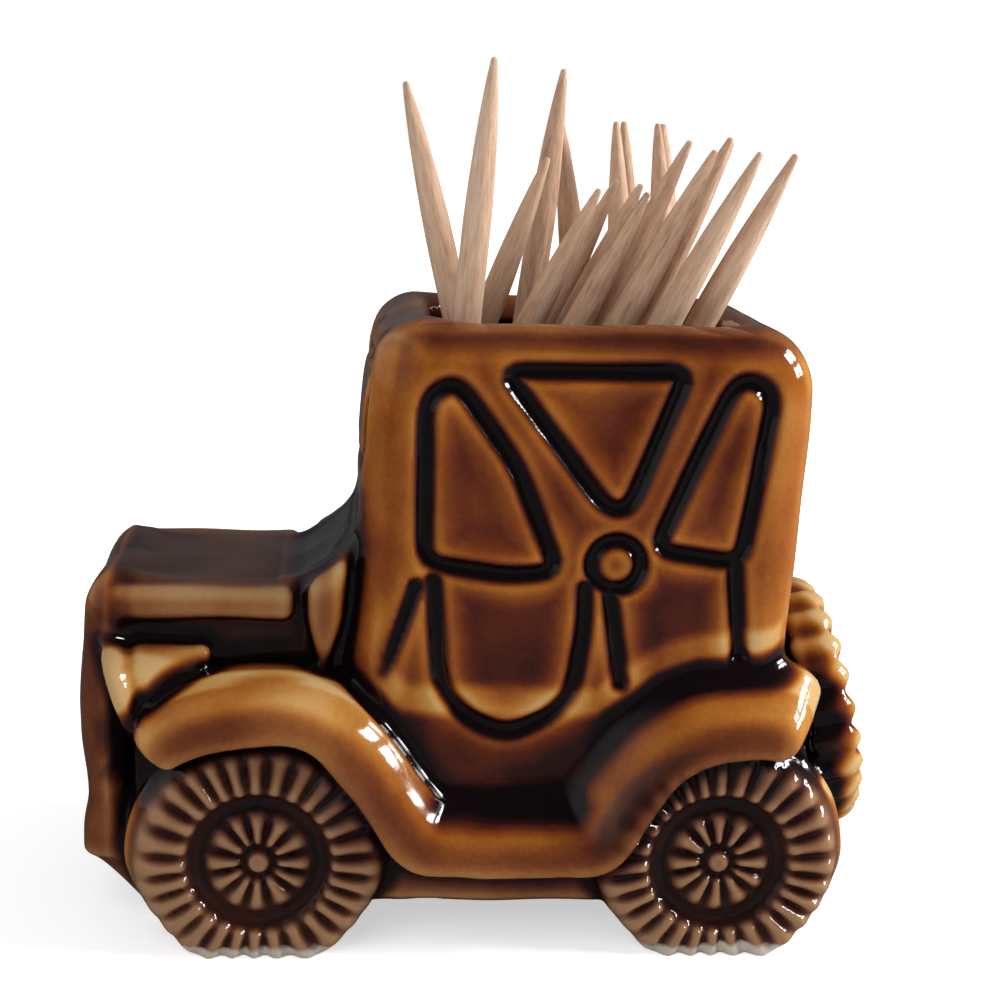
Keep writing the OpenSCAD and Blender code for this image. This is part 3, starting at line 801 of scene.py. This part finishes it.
groove = groove_distance()
field, outside, seam = casting_field(groove)
points, quads = surface_net(field)
points = settle(points, field)
points[:, 2] = np.maximum(points[:, 2], 0.0)
casting = mesh_object("ceramic_car", points, quads)
add_attribute(casting, "glaze", glaze_depth(points, outside, seam, groove))
# The dull mauve, which on the wheels is painted shade.
add_attribute(casting, "mauve_and_shade", mauve_share(points))
print("casting", len(points), "points", len(quads), "quads")


def set_range(node, start, end, low, high):
    """Makes a Map Range node carry start to low and end to high."""
    for key, number in (("From Min", start), ("From Max", end), ("To Min", low), ("To Max", high)):
        node.inputs[key].default_value = number


def srgb(r, g, b):
    """A colour given as it looks on screen, 0 to 255, as linear light."""
    return tuple(((c / 255 + 0.055) / 1.055) ** 2.4 if c > 10 else c / 255 / 12.92 for c in (r, g, b))


class Nodes:
    """A short way to write a material's nodes."""

    def __init__(self, name):
        self.material = bpy.data.materials.new(name)
        self.material.use_nodes = True
        self.tree = self.material.node_tree
        self.shader = self.tree.nodes["Principled BSDF"]

    def add(self, kind, **inputs):
        node = self.tree.nodes.new(kind)
        for key, value in inputs.items():
            key = key.replace("_", " ")
            if isinstance(value, bpy.types.NodeSocket):
                self.tree.links.new(value, node.inputs[key])
            else:
                node.inputs[key].default_value = value
        return node

    def link(self, output, target):
        self.tree.links.new(output, target)

    def math(self, operation, a, b):
        node = self.tree.nodes.new("ShaderNodeMath")
        node.operation = operation
        for i, value in enumerate((a, b)):
            if isinstance(value, bpy.types.NodeSocket):
                self.tree.links.new(value, node.inputs[i])
            else:
                node.inputs[i].default_value = value
        return node.outputs[0]

    def noise(self, vector, scale, detail=2.0, roughness=0.5):
        node = self.add("ShaderNodeTexNoise", Vector=vector, Scale=scale, Detail=detail, Roughness=roughness)
        return node.outputs["Fac"]

    def ramp(self, factor, stops):
        node = self.tree.nodes.new("ShaderNodeValToRGB")
        self.link(factor, node.inputs[0])
        marks = node.color_ramp.elements
        marks[0].position = stops[0][0]
        marks[1].position = stops[-1][0]
        for place, colour in stops[1:-1]:
            marks.new(place)
        for mark, (place, colour) in zip(marks, stops):
            mark.color = (*srgb(*colour), 1.0)
        return node.outputs[0]

    def remap(self, value, start, end, low, high):
        """Carries start to low and end to high."""
        node = self.add("ShaderNodeMapRange", Value=value)
        set_range(node, start, end, low, high)
        return node.outputs[0]

    def mix(self, factor, a, b):
        node = self.tree.nodes.new("ShaderNodeMix")
        node.data_type = "RGBA"
        for i, value in ((0, factor), (6, a), (7, b)):
            if isinstance(value, bpy.types.NodeSocket):
                self.link(value, node.inputs[i])
            elif i:
                node.inputs[i].default_value = (*value, 1.0)
            else:
                node.inputs[i].default_value = value
        return node.outputs[2]

    def set(self, **values):
        """Uniform values on the shader's own sockets."""
        for key, value in values.items():
            self.shader.inputs[key.replace("_", " ")].default_value = value


# The glaze's colours as they look on screen, from where it is thin to where it is thick.
AMBER = ((0.0, (204, 166, 112)), (0.14, (190, 134, 66)), (0.28, (168, 100, 36)), (0.42, (132, 68, 24)),
         (0.58, (92, 38, 20)), (0.74, (46, 19, 16)), (0.92, (16, 8, 10)))
# The dull mauve, which on the wheels paints their shade.
MAUVE_AND_SHADE = ((0.0, (156, 118, 86)), (0.25, (122, 82, 58)), (0.45, (88, 52, 38)), (0.62, (56, 29, 22)),
         (0.9, (22, 11, 12)))
CLAY_PALE, CLAY_DARK = (206, 198, 186), (176, 164, 150)
WOOD = ((0.3, (150, 112, 88)), (0.45, (188, 150, 122)), (0.6, (205, 170, 142)), (0.75, (218, 188, 162)))
# Scales of the noises, per metre, and how much the first three change the glaze's thickness.
MOTTLE_SCALE, DRIFT_SCALE, GRAIN_SCALE = 190.0, 60.0, 2600.0
MOTTLE, DRIFT, GRAIN = 0.07, 0.07, 0.02
FRAY_SCALE, PIT_SCALE, WAVE_SCALE = 420.0, 900.0, 700.0
FIBRE_SCALE, STREAK_SCALE = 5200.0, 1400.0
# How strong each bump is, and how deep in metres.
GLAZE_BUMP, WOOD_BUMP = (0.12, 0.0002), (0.5, 0.0001)
GLAZE_ROUGH, CLAY_ROUGH, GLAZE_IOR = 0.09, 0.8, 1.52
# The glaze ends at about this height over the table, in metres, along a line frayed by so much.
BARE_LOW, BARE_HIGH, FRAY = 0.0006, 0.0009, 0.0003


def glaze_material():
    """Glaze that is pale where it is thin and black where it is thick, and bare clay at the feet."""
    n = Nodes("amber_glaze")
    place = n.tree.nodes.new("ShaderNodeTexCoord").outputs["Object"]
    depth = n.tree.nodes.new("ShaderNodeAttribute")
    depth.attribute_name = "glaze"
    mottle = n.noise(place, MOTTLE_SCALE, 3.0, 0.55)
    drift = n.noise(place, DRIFT_SCALE, 2.0)
    grain = n.noise(place, GRAIN_SCALE, 2.0, 0.7)
    t = n.math("ADD", depth.outputs["Fac"], n.remap(mottle, 0.25, 0.75, -MOTTLE, MOTTLE))
    t = n.math("ADD", t, n.remap(drift, 0.3, 0.7, -DRIFT, DRIFT))
    t = n.math("ADD", t, n.remap(grain, 0.3, 0.7, -GRAIN, GRAIN))
    amber = n.ramp(t, AMBER)
    mauve_and_shade = n.ramp(t, MAUVE_AND_SHADE)
    # The dull mauve paints the wheels' shade, mixed in by its share.
    dull = n.tree.nodes.new("ShaderNodeAttribute")
    dull.attribute_name = "mauve_and_shade"
    colour = n.mix(dull.outputs["Fac"], amber, mauve_and_shade)
    height = n.tree.nodes.new("ShaderNodeSeparateXYZ")
    n.link(place, height.inputs[0])
    frayed = n.remap(n.noise(place, FRAY_SCALE, 3.0), 0.3, 0.7, -FRAY, FRAY)
    ragged = n.math("ADD", height.outputs["Z"], frayed)
    bare = n.remap(ragged, BARE_HIGH, BARE_LOW, 0.0, 1.0)
    clay = n.mix(grain, srgb(*CLAY_PALE), srgb(*CLAY_DARK))
    n.link(n.mix(bare, colour, clay), n.shader.inputs["Base Color"])
    n.link(n.remap(bare, 0.0, 1.0, GLAZE_ROUGH, CLAY_ROUGH), n.shader.inputs["Roughness"])
    n.set(Coat_Weight=0.0, IOR=GLAZE_IOR)
    # Pinholes and a faint waviness, too small for the mesh.
    pits = n.tree.nodes.new("ShaderNodeTexVoronoi")
    pits.inputs["Scale"].default_value = PIT_SCALE
    n.link(place, pits.inputs["Vector"])
    dimple = n.remap(pits.outputs["Distance"], 0.0, 0.12, 0.0, 1.0)
    waves = n.math("MULTIPLY", n.noise(place, WAVE_SCALE, 2.0), 0.8)
    relief = n.math("ADD", n.math("MULTIPLY", dimple, 0.15), waves)
    bump = n.add("ShaderNodeBump", Height=relief, Strength=GLAZE_BUMP[0], Distance=GLAZE_BUMP[1])
    n.link(bump.outputs[0], n.shader.inputs["Normal"])
    return n.material


def wood_material():
    """Pale wood with its fibres along the pick. Each pick shows a place of its own in the grain."""
    n = Nodes("pick_wood")
    place = n.tree.nodes.new("ShaderNodeTexCoord").outputs["Object"]
    stretch = n.add("ShaderNodeMapping", Vector=place)
    stretch.inputs["Scale"].default_value = (1.0, 1.0, 0.12)
    random = n.tree.nodes.new("ShaderNodeObjectInfo").outputs["Random"]
    shift = n.tree.nodes.new("ShaderNodeCombineXYZ")
    n.link(random, shift.inputs[2])
    moved = n.tree.nodes.new("ShaderNodeVectorMath")
    n.link(stretch.outputs[0], moved.inputs[0])
    n.link(shift.outputs[0], moved.inputs[1])
    fibre = n.noise(moved.outputs[0], FIBRE_SCALE, 3.0, 0.65)
    streak = n.noise(moved.outputs[0], STREAK_SCALE, 2.0)
    tone = n.math("ADD", n.math("MULTIPLY", fibre, 0.6), n.math("MULTIPLY", streak, 0.5))
    tone = n.math("ADD", tone, n.remap(random, 0.0, 1.0, -0.08, 0.08))
    n.link(n.ramp(tone, WOOD), n.shader.inputs["Base Color"])
    n.link(n.remap(fibre, 0.3, 0.7, 0.72, 0.9), n.shader.inputs["Roughness"])
    bump = n.add("ShaderNodeBump", Height=fibre, Strength=WOOD_BUMP[0], Distance=WOOD_BUMP[1])
    n.link(bump.outputs[0], n.shader.inputs["Normal"])
    return n.material


glaze = glaze_material()
wood = wood_material()
casting.data.materials.append(glaze)
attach(casting, "car")
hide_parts("car_casting")

PICK_D = 2.2
PICK_TAPER = 13.0
# The round tip's radii and places, and the radius and place where the taper starts.
PICK_TIP = ((0.0, 0.0), (0.12, 0.02), (0.2, 0.08))
PICK_TIP_R, PICK_TIP_L = 0.25, 0.2
PICK_SWELL = 0.85
# A pick is drawn this much shorter than its solid, so that its round tips stay within it.
PICK_SPARE = 0.2
# Corners round a pick, and steps along its tapered end and its middle.
ROUND = 28
END_STEPS = 14
MIDDLE_STEPS = 16
# How much a pick is out of round, oval and with three lobes, and how far that turns along it.
OVAL, LOBED, OVAL_TWIST, LOBE_TWIST = 0.02, 0.015, 0.05, 0.3


def pick_outline(length):
    """Radius and place along a pick: rounded tips that swell to a long straight middle."""
    ends = list(PICK_TIP)
    for k in range(END_STEPS + 1):
        r = PICK_TIP_R + (PICK_D / 2 - PICK_TIP_R) * math.sin(math.pi / 2 * k / END_STEPS) ** PICK_SWELL
        ends.append((r, PICK_TIP_L + (PICK_TAPER - PICK_TIP_L) * k / END_STEPS))
    straight = length - 2 * PICK_TAPER
    middle = [(PICK_D / 2, PICK_TAPER + straight * k / MIDDLE_STEPS) for k in range(1, MIDDLE_STEPS)]
    return ends + middle + [(r, length - z) for r, z in reversed(ends)]


def make_pick(node, axis):
    """A turned pick, a little out of round, laid along its solid's axis. Its body has the node's name."""
    corners = np.array([v.co for v in frame["nodes"][node].data.vertices])
    axis = np.array(axis) / np.linalg.norm(axis)
    along = corners @ axis
    middle = corners.mean(0)
    middle = middle + axis * ((along.max() + along.min()) / 2 - middle @ axis)
    length = (along.max() - along.min()) / MM - PICK_SPARE
    dice = np.random.default_rng(int(node.split("_")[1]))
    oval_turn, lobe_turn = dice.uniform(0, 2 * math.pi, 2)
    outline = pick_outline(length)
    rings = []
    a = np.arange(ROUND) * 2 * math.pi / ROUND
    for r, z in outline:
        oval = OVAL * (1 + np.sin(2 * a + oval_turn + z * OVAL_TWIST))
        lobed = LOBED * (1 + np.sin(3 * a + lobe_turn + z * LOBE_TWIST))
        reach = r * (1 - oval - lobed)
        rings.append(np.stack([reach * np.cos(a), reach * np.sin(a), np.full(ROUND, z - length / 2)], axis=1))
    pts = np.concatenate(rings)
    faces = []
    for i in range(len(outline) - 1):
        for j in range(ROUND):
            k = (j + 1) % ROUND
            faces.append((i * ROUND + j, i * ROUND + k, (i + 1) * ROUND + k, (i + 1) * ROUND + j))
    pick = mesh_object(node.replace("pick", "toothpick"), pts, faces)
    pick.data.materials.append(wood)
    turn = Vector(axis).to_track_quat("Z", "Y").to_matrix().to_4x4()
    pick.matrix_world = Matrix.Translation(Vector(middle)) @ turn
    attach(pick, node)
    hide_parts(node)


for joint in frame["joints"]:
    make_pick(joint["child"], joint["axis"])


PALE = (0.86, 0.86, 0.86)
DARK = (0.1, 0.1, 0.1)
FLOOR_REACH = 3.0


def floor():
    """A pale floor that keeps the car's shadow and reads as white away from it."""
    corners = np.array([(-1, -1, 0), (1, -1, 0), (1, 1, 0), (-1, 1, 0)]) * FLOOR_REACH / MM
    plane = mesh_object("floor", corners, [(0, 1, 2, 3)], False)
    n = Nodes("pale_floor")
    n.set(Roughness=0.9, Specular_IOR_Level=0.1)
    path = n.tree.nodes.new("ShaderNodeLightPath")
    seen = n.math("MAXIMUM", path.outputs["Is Camera Ray"], path.outputs["Is Transmission Ray"])
    # In the glaze the floor shows as dark as the table on which the car was photographed.
    floor_colour = n.mix(path.outputs["Is Glossy Ray"], PALE, DARK)
    n.link(floor_colour, n.shader.inputs["Base Color"])
    n.set(Emission_Color=(1.0, 1.0, 1.0, 1.0))
    place = n.tree.nodes.new("ShaderNodeTexCoord").outputs["Object"]
    reach = n.tree.nodes.new("ShaderNodeVectorMath")
    reach.operation = "LENGTH"
    n.link(place, reach.inputs[0])
    glow = n.remap(reach.outputs["Value"], 0.04, 0.25, 0.55, 1.0)
    n.link(n.math("MULTIPLY", seen, glow), n.shader.inputs["Emission Strength"])
    plane.data.materials.append(n.material)


# What the room adds to matt surfaces, over what it adds to reflections.
AMBIENT = 0.32


def smooth_range(tree, value, start, end, low, high):
    """Carries start to low and end to high, with smooth ends."""
    node = tree.nodes.new("ShaderNodeMapRange")
    node.interpolation_type = "SMOOTHSTEP"
    set_range(node, start, end, low, high)
    tree.links.new(value, node.inputs["Value"])
    return node.outputs[0]


def world():
    """White to the camera. In reflections it is a dim room, lighter at the left and behind the car."""
    w = bpy.data.worlds.new("studio")
    bpy.context.scene.world = w
    w.use_nodes = True
    tree = w.node_tree
    back = tree.nodes["Background"]
    path = tree.nodes.new("ShaderNodeLightPath")
    coord = tree.nodes.new("ShaderNodeTexCoord")
    split = tree.nodes.new("ShaderNodeSeparateXYZ")
    tree.links.new(coord.outputs["Generated"], split.inputs[0])
    room = tree.nodes.new("ShaderNodeMath")
    tree.links.new(smooth_range(tree, split.outputs["Y"], -0.35, 0.8, 0.03, 0.11), room.inputs[0])
    tree.links.new(smooth_range(tree, split.outputs["X"], -0.35, -0.9, 0.0, 0.3), room.inputs[1])
    ambient = tree.nodes.new("ShaderNodeMath")
    ambient.operation = "MULTIPLY_ADD"
    ambient.inputs[1].default_value = AMBIENT
    tree.links.new(path.outputs["Is Diffuse Ray"], ambient.inputs[0])
    tree.links.new(room.outputs[0], ambient.inputs[2])
    sees = tree.nodes.new("ShaderNodeMath")
    sees.operation = "MAXIMUM"
    tree.links.new(ambient.outputs[0], sees.inputs[0])
    tree.links.new(path.outputs["Is Camera Ray"], sees.inputs[1])
    tree.links.new(sees.outputs[0], back.inputs["Strength"])
    back.inputs["Color"].default_value = (1.0, 1.0, 1.0, 1.0)


def area_light(name, place, aim, size, power, shines=True):
    """A square light. One that doesn't shine stays out of the glaze's reflections."""
    data = bpy.data.lights.new(name, "AREA")
    data.size = size
    data.energy = power
    obj = bpy.data.objects.new(name, data)
    obj.location = place
    obj.visible_glossy = shines
    obj.rotation_euler = (Vector(aim) - Vector(place)).to_track_quat("-Z", "Y").to_euler()
    bpy.context.scene.collection.objects.link(obj)


# The camera as fitted to the photograph: degrees, metres, and pixels of the 1000-pixel frame.
CAMERA_TURN = (5.0, 12.2, 2.0)
CAMERA_PLACE = (-0.0107, -0.135, 0.0605)
FOCAL_PX, IMAGE_PX = 1768, 1000


def camera():
    """The photograph's camera."""
    data = bpy.data.cameras.new("camera")
    data.sensor_fit = "HORIZONTAL"
    data.sensor_width = 36.0
    data.lens = data.sensor_width * FOCAL_PX / IMAGE_PX
    data.clip_start = 0.005
    obj = bpy.data.objects.new("camera", data)
    yaw, pitch, roll = (math.radians(a) for a in CAMERA_TURN)
    look = Vector((math.sin(yaw) * math.cos(pitch), math.cos(yaw) * math.cos(pitch), -math.sin(pitch)))
    right = Vector((math.cos(yaw), -math.sin(yaw), 0.0))
    up = right.cross(look)
    right, up = right * math.cos(roll) + up * math.sin(roll), up * math.cos(roll) - right * math.sin(roll)
    turn = Matrix((right, up, -look)).transposed().to_4x4()
    obj.matrix_world = Matrix.Translation(Vector(CAMERA_PLACE)) @ turn
    bpy.context.scene.collection.objects.link(obj)
    bpy.context.scene.camera = obj


floor()
world()
camera()
# A window to the right, in four panes, and a broad soft fill above and in front, in metres and watts.
CAR_MIDDLE = (0.0, 0.0, 0.02)
WINDOW_X, WINDOW_Y, WINDOW_Z = 0.38, -0.03, 0.2
WINDOW_STEP, WINDOW_LEAN = 0.045, 0.022
PANE_SIZE, PANE_POWER = 0.066, 0.5
FILL_PLACE, FILL_SIZE, FILL_POWER = (-0.25, -0.5, 0.55), 0.5, 1.6
for number, (across, up) in enumerate(((-1, -1), (1, -1), (-1, 1), (1, 1))):
    place = (WINDOW_X - WINDOW_LEAN * up, WINDOW_Y + WINDOW_STEP * across, WINDOW_Z + WINDOW_STEP * up)
    area_light(f"window_pane_{number}", place, CAR_MIDDLE, PANE_SIZE, PANE_POWER)
area_light("soft_fill", FILL_PLACE, CAR_MIDDLE, FILL_SIZE, FILL_POWER, shines=False)

scene = bpy.context.scene
scene.view_settings.view_transform = "Standard"
